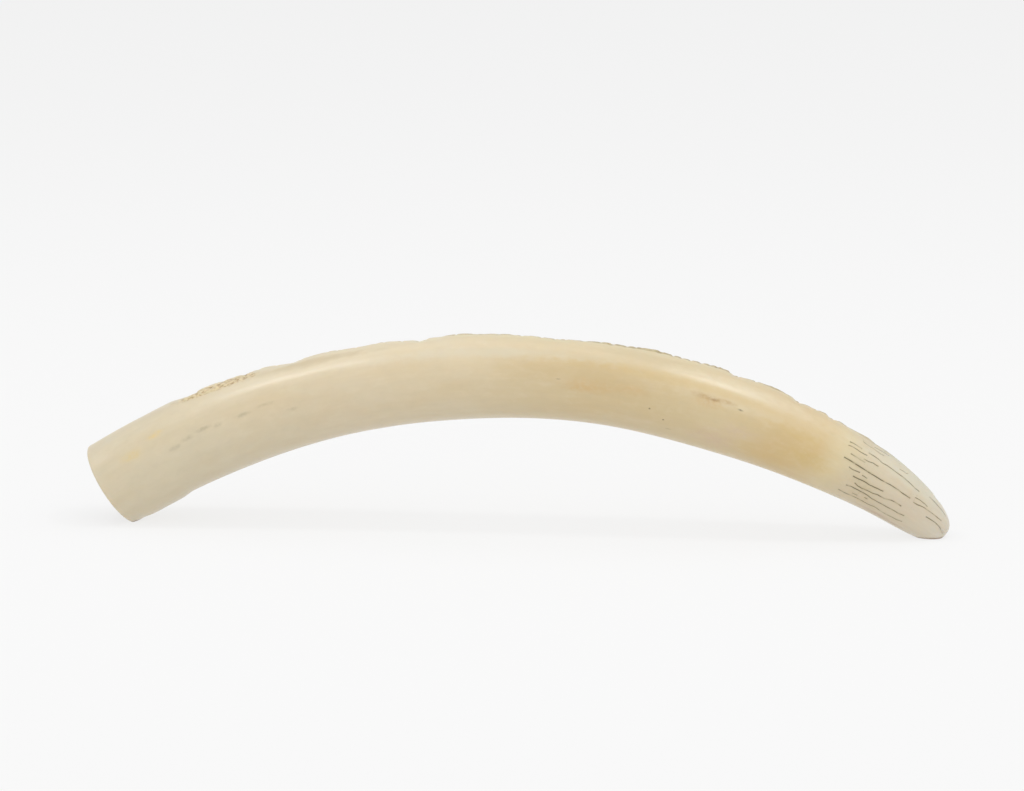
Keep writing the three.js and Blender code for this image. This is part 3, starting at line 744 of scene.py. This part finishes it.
def ivoryMaterial():
    material = bpy.data.materials.new("polishedIvory")
    material.use_nodes = True
    tree = material.node_tree
    tree.nodes.clear()
    smooth = {"interpolation_type": "SMOOTHSTEP"}
    unrolled = addNode(tree, "UVMap", uv_map="unrolled")
    inMm = addNode(tree, "VectorMath", {0: unrolled, "Scale": 1 / mm}, operation="SCALE")
    along = addNode(tree, "SeparateXYZ", {0: inMm})
    across = along.node.outputs[1]
    depth, crevice, hollow = (addNode(tree, "Attribute", None, 2, attribute_name=name)
                              for name in ("carvedDepth", "crevice", "inHollow"))

    # the map rolled up again, so that patterns close round the tusk
    radius = tusk["bodyHalfHeight"]
    angle = addNode(tree, "Math", {0: across, 1: 1 / radius}, operation="MULTIPLY")
    sine = addNode(tree, "Math", {0: angle}, operation="SINE")
    cosine = addNode(tree, "Math", {0: angle}, operation="COSINE")
    side = addNode(tree, "Math", {0: sine, 1: radius}, operation="MULTIPLY")
    up = addNode(tree, "Math", {0: cosine, 1: radius}, operation="MULTIPLY")
    rolled = addNode(tree, "CombineXYZ", {0: along, 1: side, 2: up})
    cloudy = {}
    for name, (size, stretch, detail, rough) in patterns.items():
        scaled = addNode(tree, "Mapping", {0: rolled, "Scale": (1 / (size * stretch), 1 / size, 1 / size)})
        cloudy[name] = addNode(tree, "TexNoise", {"Vector": scaled, "Scale": 1.0, "Detail": detail,
                                                  "Roughness": rough})

    # the tones change along the tusk, at places that wander
    wander = addNode(tree, "Math", {0: cloudy["clouds"], 1: 56.0, 2: -28.0}, operation="MULTIPLY_ADD")
    less = addNode(tree, "MapRange", {0: along, 1: 430.0, 2: 510.0, 3: 1.0, 4: 0.25})
    wandering = addNode(tree, "Math", {0: wander, 1: less, 2: along}, operation="MULTIPLY_ADD")
    share = addNode(tree, "Math", {0: wandering, 1: 1 / tusk["length"]}, operation="MULTIPLY")
    colour = addNode(tree, "ValToRGB", {0: share})
    ramp = colour.node.color_ramp
    while len(ramp.elements) < len(ivory["tones"]):
        ramp.elements.new(0.5)
    for element, (at, tone) in zip(ramp.elements, ivory["tones"]):
        element.position = at / tusk["length"]
        element.color = hexColour(tone)

    # layers of colour over these tones, from the lowest up: how much of it shows, and its tone
    layers = []
    for name, low, high, strength, tone in mottling:
        share = addNode(tree, "MapRange", {0: cloudy[name], 1: low, 2: high, 4: strength})
        layers.append((share, ivory[tone]))

    # painted shade makes the underside darker, and painted overhead light makes the upper side a little paler
    for start, full, strength, tone in ((-2.0, -24.0, 0.26, "shade"), (9.0, 22.0, 0.06, "paleAndSheen")):
        share = addNode(tree, "MapRange", {0: up, 1: start, 2: full, 4: strength}, **smooth)
        layers.append((share, ivory[tone]))

    # stains, each a soft and broken patch with an uneven edge; two pale ones high on the polished side are
    # painted sheen
    uneven = cloudy["waver"].node.outputs[1]
    uneven = addNode(tree, "VectorMath", {0: uneven, 1: (0.5, 0.5, 0.5)}, operation="SUBTRACT")
    broken = addNode(tree, "MapRange", {0: cloudy["grime"], 1: 0.36, 2: 0.6, 3: 0.35})
    for place, roundAt, length, width, tone, strength in stains:
        off = addNode(tree, "Mapping", {
            0: inMm, "Scale": (2 / length, 2 / width, 0.0),
            "Location": (-2 * place / length, -2 * roundAt / width, 0.0)})
        off = addNode(tree, "VectorMath", {0: uneven, 1: (0.9, 0.9, 0.0), 2: off}, operation="MULTIPLY_ADD")
        far = addNode(tree, "VectorMath", {0: off}, 1, operation="LENGTH")
        share = addNode(tree, "MapRange", {0: far, 1: 1.15, 2: 0.1, 4: strength}, **smooth)
        if length < 60:
            share = addNode(tree, "Math", {0: share, 1: broken}, operation="MULTIPLY")
        layers.append((share, tone))

    # the fringe of leaf tips on the plain side is tan with golden brown specks
    place, roundAt, length, width = ivory["fringe"]
    fringe = addNode(tree, "Mapping", {
        0: inMm, "Scale": (2 / length, 2 / width, 0.0),
        "Location": (-2 * place / length, -2 * roundAt / width, 0.0)})
    fringe = addNode(tree, "VectorMath", {0: uneven, 1: (0.5, 0.8, 0.0), 2: fringe}, operation="MULTIPLY_ADD")
    fringe = addNode(tree, "VectorMath", {0: fringe}, 1, operation="LENGTH")
    fringe = addNode(tree, "MapRange", {0: fringe, 1: 1.1, 2: 0.75})
    specks = addNode(tree, "MapRange", {0: cloudy["specks"], 1: 0.5, 2: 0.62, 4: 0.85})
    for share, tone in ((0.5, ivory["fringeTan"]), (specks, ivory["fringeSpecks"])):
        share = addNode(tree, "Math", {0: fringe, 1: share}, operation="MULTIPLY")
        layers.append((share, tone))

    # the satin strip between the polished side and the carving is painted paler, a painted sheen for the
    # sky's reflection there
    edge = addNode(tree, "Math", {0: cloudy["drift"], 1: 5.0, 2: across}, operation="MULTIPLY_ADD")
    low = ivory["edgeOfPolish"] + 2.5
    strip = addNode(tree, "MapRange", {0: edge, 1: low - 4, 2: low + 4}, **smooth)
    for start, full in ((70.0, 125.0), (545.0, 500.0)):
        fading = addNode(tree, "MapRange", {0: along, 1: start, 2: full})
        strip = addNode(tree, "Math", {0: strip, 1: fading}, operation="MULTIPLY")
    beyond = addNode(tree, "MapRange", {
        0: across, 1: carving["farReach"] + 1, 2: carving["farReach"] + 4, 3: 1.0, 4: 0.0}, **smooth)
    strip = addNode(tree, "Math", {0: strip, 1: beyond}, operation="MULTIPLY")
    share = addNode(tree, "Math", {0: strip, 1: 0.2}, operation="MULTIPLY")
    layers.append((share, ivory["paleAndSheen"]))

    # and a thin dark line runs along its far edge, partly dirt and partly painted shade under the border's
    # edge
    line = addNode(tree, "Math", {0: across, 1: carving["border"] - 3.6}, operation="SUBTRACT")
    line = addNode(tree, "Math", {0: line}, operation="ABSOLUTE")
    line = addNode(tree, "MapRange", {0: line, 1: 3.6, 2: 1.4, 4: 0.7}, **smooth)
    share = addNode(tree, "Math", {0: line, 1: broken}, operation="MULTIPLY")
    for start, full in ((150.0, 340.0), (560.0, 525.0)):
        fading = addNode(tree, "MapRange", {0: along, 1: start, 2: full})
        share = addNode(tree, "Math", {0: share, 1: fading}, operation="MULTIPLY")
    layers.append((share, ivory["edgeDirtAndShade"]))

    # the carving: old dirt on the ground, brown in the corners as dirt and painted shade, cream where hands
    # have rubbed the crests
    patchy = addNode(tree, "MapRange", {0: cloudy["grime"], 1: 0.3, 2: 0.7, 3: -0.25, 4: 0.25})
    dirty = addNode(tree, "Math", {0: depth, 1: patchy}, operation="ADD")
    corner = addNode(tree, "Math", {0: patchy, 1: 0.8, 2: crevice}, operation="MULTIPLY_ADD")
    for reason, low, high, edgeLow, edgeHigh, tone in ((dirty, 0.15, 0.85, 0.0, 0.12, "ground"),
                                                       (corner, 0.05, 0.75, 0.02, 0.25, "cornerDirtAndShade")):
        share = addNode(tree, "MapRange", {0: reason, 1: low, 2: high, 4: 0.85})
        sunk = addNode(tree, "MapRange", {0: depth, 1: edgeLow, 2: edgeHigh})
        share = addNode(tree, "Math", {0: share, 1: sunk}, operation="MULTIPLY")
        layers.append((share, ivory[tone]))
    share = addNode(tree, "MapRange", {0: crevice, 1: -0.05, 2: -0.6, 4: 0.55})
    layers.append((share, ivory["rubbed"]))

    # where it stands, the very edge of each foot is painted dark brown as a contact shadow
    inSpace = addNode(tree, "TexCoord", None, 3)
    height = addNode(tree, "SeparateXYZ", {0: inSpace}, 2)
    share = addNode(tree, "MapRange", {0: height, 1: 1.8 * mm, 2: 0.5 * mm, 4: 0.7})
    layers.append((share, ivory["foot"]))

    # the cut end: fine crossing lines in the sawn ring, drawn twice as coarse as they are to be seen at all,
    # and a dull, brown and streaked wall in the hollow
    ring = addNode(tree, "MapRange", {0: along, 1: -2.4, 2: -3.0})
    waves = []
    for slant in (2.4, -2.4):
        lean = addNode(tree, "Math", {0: along, 1: slant}, operation="MULTIPLY")
        wave = addNode(tree, "Math", {0: angle, 1: 72.0, 2: lean}, operation="MULTIPLY_ADD")
        waves.append(addNode(tree, "Math", {0: wave}, operation="SINE"))
    crossed = addNode(tree, "Math", {0: waves[0], 1: waves[1]}, operation="MULTIPLY")
    share = addNode(tree, "MapRange", {0: crossed, 1: -0.6, 2: 0.6, 4: 0.35})
    share = addNode(tree, "Math", {0: share, 1: ring}, operation="MULTIPLY")
    layers.append((share, ivory["olive"]))
    share = addNode(tree, "MapRange", {0: cloudy["streaks"], 1: 0.3, 2: 0.7})
    inside = addNode(tree, "Mix", {
        0: share, 6: hexColour(ivory["hollowDark"]), 7: hexColour(ivory["hollowLight"])}, 2, data_type="RGBA")
    layers.append((hollow, inside))

    # age cracks: for each, a curve gives its place round the tusk at each distance along
    farSide = addNode(tree, "Math", {0: across, 1: 0.0}, operation="GREATER_THAN")
    waver = addNode(tree, "Math", {0: cloudy["waver"], 1: 1.6, 2: -0.8}, operation="MULTIPLY_ADD")
    folded = addNode(tree, "Math", {0: across}, operation="ABSOLUTE")
    folded = addNode(tree, "Math", {0: farSide, 1: 6.0, 2: folded}, operation="MULTIPLY_ADD")
    wavering = addNode(tree, "Math", {0: waver, 1: folded}, operation="SUBTRACT")
    shifted = addNode(tree, "Math", {0: farSide, 1: -7.0, 2: along}, operation="MULTIPLY_ADD")
    start, reach = 520.0, 110.0  # what a curve spans along the tusk
    low, tall = -100.0, 200.0  # and round it
    atTip = addNode(tree, "MapRange", {0: shifted, 1: start, 2: start + reach})
    nearest = None
    for bold, line in cracks:
        width = 0.5 * bold
        curve = addNode(tree, "FloatCurve", {1: atTip})
        points = curve.node.mapping.curves[0].points
        points[0].location = (0.0, 1.0)
        points[1].location = (1.0, 1.0)
        # just outside the crack's two ends the curve leaps away from the surface in use
        for a, c in [(line[0][0] - 0.4, 100.0)] + line + [(line[-1][0] + 0.4, 100.0)]:
            points.new((a - start) / reach, (c - low) / tall)
        for point in points:
            point.handle_type = "VECTOR"
        curve.node.mapping.update()
        middle = addNode(tree, "Math", {0: curve, 1: tall / width, 2: low / width}, operation="MULTIPLY_ADD")
        gap = addNode(tree, "Math", {0: wavering, 1: 1 / width}, operation="MULTIPLY")
        gap = addNode(tree, "Math", {0: gap, 1: middle}, operation="SUBTRACT")
        gap = addNode(tree, "Math", {0: gap}, operation="ABSOLUTE")
        if nearest is not None:
            gap = addNode(tree, "Math", {0: nearest, 1: gap}, operation="MINIMUM")
        nearest = gap
    # beside each crack the ivory has darkened a little
    share = addNode(tree, "MapRange", {0: nearest, 1: 3.2, 2: 0.6, 4: 0.35}, **smooth)
    layers.append((share, ivory["olive"]))
    crack = addNode(tree, "MapRange", {0: nearest, 1: 0.9, 2: 0.3}, **smooth)
    gaps = addNode(tree, "MapRange", {0: cloudy["gaps"], 1: 0.34, 2: 0.5, 3: 0.3})
    crack = addNode(tree, "Math", {0: crack, 1: gaps}, operation="MULTIPLY")
    share = addNode(tree, "Math", {0: crack, 1: 0.85}, operation="MULTIPLY")
    layers.append((share, ivory["crack"]))

    for share, tone in layers:
        tone = hexColour(tone) if isinstance(tone, str) else tone
        colour = addNode(tree, "Mix", {0: share, 6: colour, 7: tone}, 2, data_type="RGBA")

    # relief too fine for the mesh, in mm: grain, the marks of the saw on the ring, and the cracks
    sawn = addNode(tree, "Mapping", {0: inSpace, "Scale": (180.0, 1400.0, 180.0)})
    sawn = addNode(tree, "TexNoise", {"Vector": sawn, "Scale": 1.0, "Detail": 2.0})
    sawn = addNode(tree, "Math", {0: sawn, 1: ring}, operation="MULTIPLY")
    height = addNode(tree, "Math", {0: crack, 1: -ivory["crackDepth"]}, operation="MULTIPLY")
    for relief, deep in ((cloudy["fine"], ivory["grainDepth"]), (sawn, ivory["sawDepth"])):
        height = addNode(tree, "Math", {0: relief, 1: deep, 2: height}, operation="MULTIPLY_ADD")
    bump = addNode(tree, "Bump", {"Height": height, "Strength": 1.0, "Distance": mm})
    rough = addNode(tree, "MapRange", {
        0: cloudy["streaks"], 1: 0.3, 2: 0.8, 3: ivory["roughness"] - 0.01, 4: ivory["roughness"] + 0.03})
    for share, more in ((strip, 0.08), (depth, 0.1), (ring, 0.15), (hollow, 0.05)):
        rough = addNode(tree, "Math", {0: share, 1: more, 2: rough}, operation="MULTIPLY_ADD")
    shader = addNode(tree, "BsdfPrincipled", {
        "Base Color": colour, "Roughness": rough, "IOR": ivory["ior"], "Normal": bump,
        "Subsurface Weight": ivory["glow"], "Subsurface Radius": (1.0, 0.65, 0.35),
        "Subsurface Scale": ivory["glowDepth"] * mm})
    addNode(tree, "OutputMaterial", {0: shader})
    return material


body.data.materials.clear()
body.data.materials.append(ivoryMaterial())
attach(body, "root")
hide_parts("tusk")
print("ivory made")

# The studio: a white table that glows a little, an even pale sky that is brighter in front, wide soft boxes
# overhead and in front, and two small ones for the gleams on the polished side.
studio = {
    "tableWhite": 0.18,
    "tableGlow": (0.75, 0.768),  # near the tusk and far behind it
    "sky": 0.9,  # at the horizon, at the back and the sides
    "skyFront": 0.3,  # more in front
    "skyDrop": 0.55,  # less overhead
    "lamps": [
        # name, place, what it points at, width and depth in metres, watts
        ("overheadBox", (0.1, 0.1, 1.8), (0.1, 0.1, 0), (4.4, 2.6), 22.0),
        ("frontBox", (0.2, -1.89, 1.53), (0.1, 0, 0.1), (3.0, 1.5), 5.5),
        ("leftBox", (-0.90, -0.12, 1.6), (-0.17, 0, 0.11), (0.24, 0.34), 3.3),
        ("rightBox", (0.62, -0.14, 1.6), (0.1, 0, 0.12), (0.24, 0.22), 2.6),
    ],
}


def makeStudio():
    bpy.ops.mesh.primitive_plane_add(size=16, location=(0, 0, 0))
    floor = bpy.context.object
    floor.name = "whiteTable"
    material = bpy.data.materials.new("glowingTable")
    material.use_nodes = True
    shader = material.node_tree.nodes["Principled BSDF"]
    white = studio["tableWhite"]
    dull = {"Base Color": (white, white, white, 1.0), "Roughness": 1.0, "Specular IOR Level": 0.0,
            "Emission Color": (1.0, 1.0, 1.0, 1.0)}
    for name, value in dull.items():
        shader.inputs[name].default_value = value
    toBack = addNode(material.node_tree, "SeparateXYZ", {
        0: addNode(material.node_tree, "TexCoord", None, 3)}, 1)
    glow = addNode(material.node_tree, "MapRange", {
        0: toBack, 1: 0.2, 2: 2.6, 3: studio["tableGlow"][0], 4: studio["tableGlow"][1]})
    material.node_tree.links.new(glow, shader.inputs["Emission Strength"])
    floor.data.materials.append(material)
    world = bpy.data.worlds.new("studioSky")
    bpy.context.scene.world = world
    world.use_nodes = True
    tree = world.node_tree
    toBack = addNode(tree, "SeparateXYZ", {0: addNode(tree, "TexCoord")}, 1)
    glow = addNode(tree, "MapRange", {
        0: toBack, 1: -1.0, 2: 0.0, 3: studio["sky"] + studio["skyFront"], 4: studio["sky"]})
    height = addNode(tree, "Math", {0: toBack.node.outputs[2], 1: 0.0}, operation="MAXIMUM")
    glow = addNode(tree, "Math", {0: height, 1: -studio["skyDrop"], 2: glow}, operation="MULTIPLY_ADD")
    sky = tree.nodes["Background"]
    sky.inputs[0].default_value = (1.0, 1.0, 1.0, 1.0)
    tree.links.new(glow, sky.inputs[1])
    for name, place, aim, size, watts in studio["lamps"]:
        bpy.ops.object.light_add(type="AREA", location=place)
        box = bpy.context.object
        box.name = name
        box.rotation_euler = (Vector(place) - Vector(aim)).to_track_quat("Z", "Y").to_euler()
        box.data.shape = "RECTANGLE"
        box.data.size, box.data.size_y = size
        box.data.energy = watts
        box.visible_camera = False


makeStudio()
print("studio lit")

# The camera stands where the photograph was taken from.
view = {
    "azimuth": 5.45,
    "elevation": 12.0,
    "away": 2.7842,
    "lookAt": (0, 0, 0.06),
    "shift": (-0.00247, 0.0330),  # to the right and up, in metres
    "lens": 140.625,
    "sensor": 36.0,
}


def makeCamera():
    a, e = math.radians(view["azimuth"]), math.radians(view["elevation"])
    back = Vector((math.sin(a) * math.cos(e), -math.cos(a) * math.cos(e), math.sin(e)))
    right = Vector((math.cos(a), math.sin(a), 0))
    up = back.cross(right)
    place = Vector(view["lookAt"]) + back * view["away"] + right * view["shift"][0] + up * view["shift"][1]
    bpy.ops.object.camera_add(location=place)
    camera = bpy.context.object
    camera.name = "photoCamera"
    camera.rotation_euler = back.to_track_quat("Z", "Y").to_euler()
    camera.data.lens = view["lens"]
    camera.data.sensor_width = view["sensor"]
    camera.data.sensor_fit = "HORIZONTAL"
    camera.data.clip_end = 100
    bpy.context.scene.camera = camera


makeCamera()
bpy.context.scene.view_settings.view_transform = "Standard"
print("camera set")
